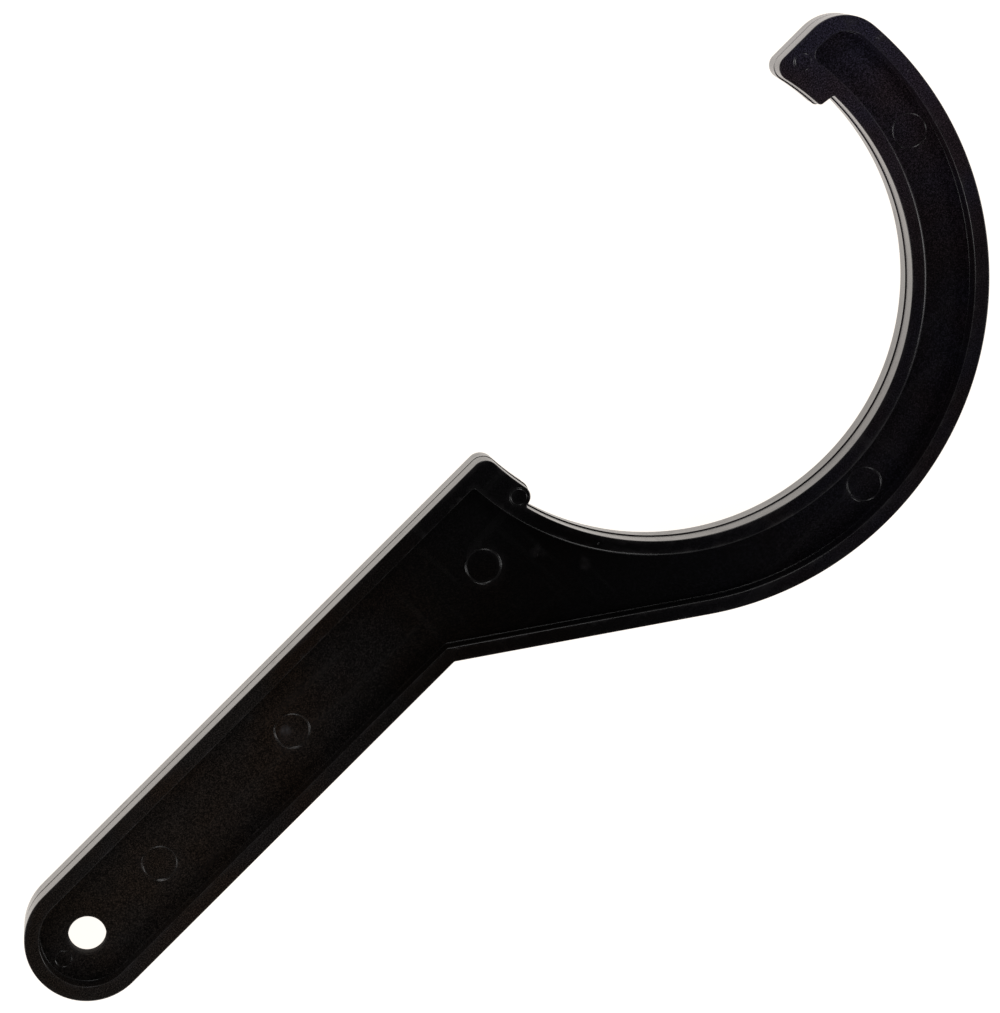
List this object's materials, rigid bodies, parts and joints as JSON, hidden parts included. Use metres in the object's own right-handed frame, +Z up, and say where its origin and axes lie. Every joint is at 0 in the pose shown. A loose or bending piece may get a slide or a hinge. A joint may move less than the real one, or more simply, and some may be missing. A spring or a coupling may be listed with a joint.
{
  "type": "hook wrench",
  "caption": "One-piece moulded plastic C-hook wrench for large ring nuts, with a rimmed recess on both faces and a hanging hole in the handle.",
  "frame": {"origin": "centre of the tool's box, on the face it rests on", "axes": "+X along the handle towards the jaw, +Y towards the side the jaw opens to, +Z up through the thickness"},
  "size_m": [0.2844, 0.0924, 0.0128],
  "materials": {
    "black_plastic": "semi-gloss moulded near-black plastic, fine grain and light rubbing marks"
  },
  "bodies": {
    "root": {"wrench_body": "black_plastic"}
  },
  "joints": []
}
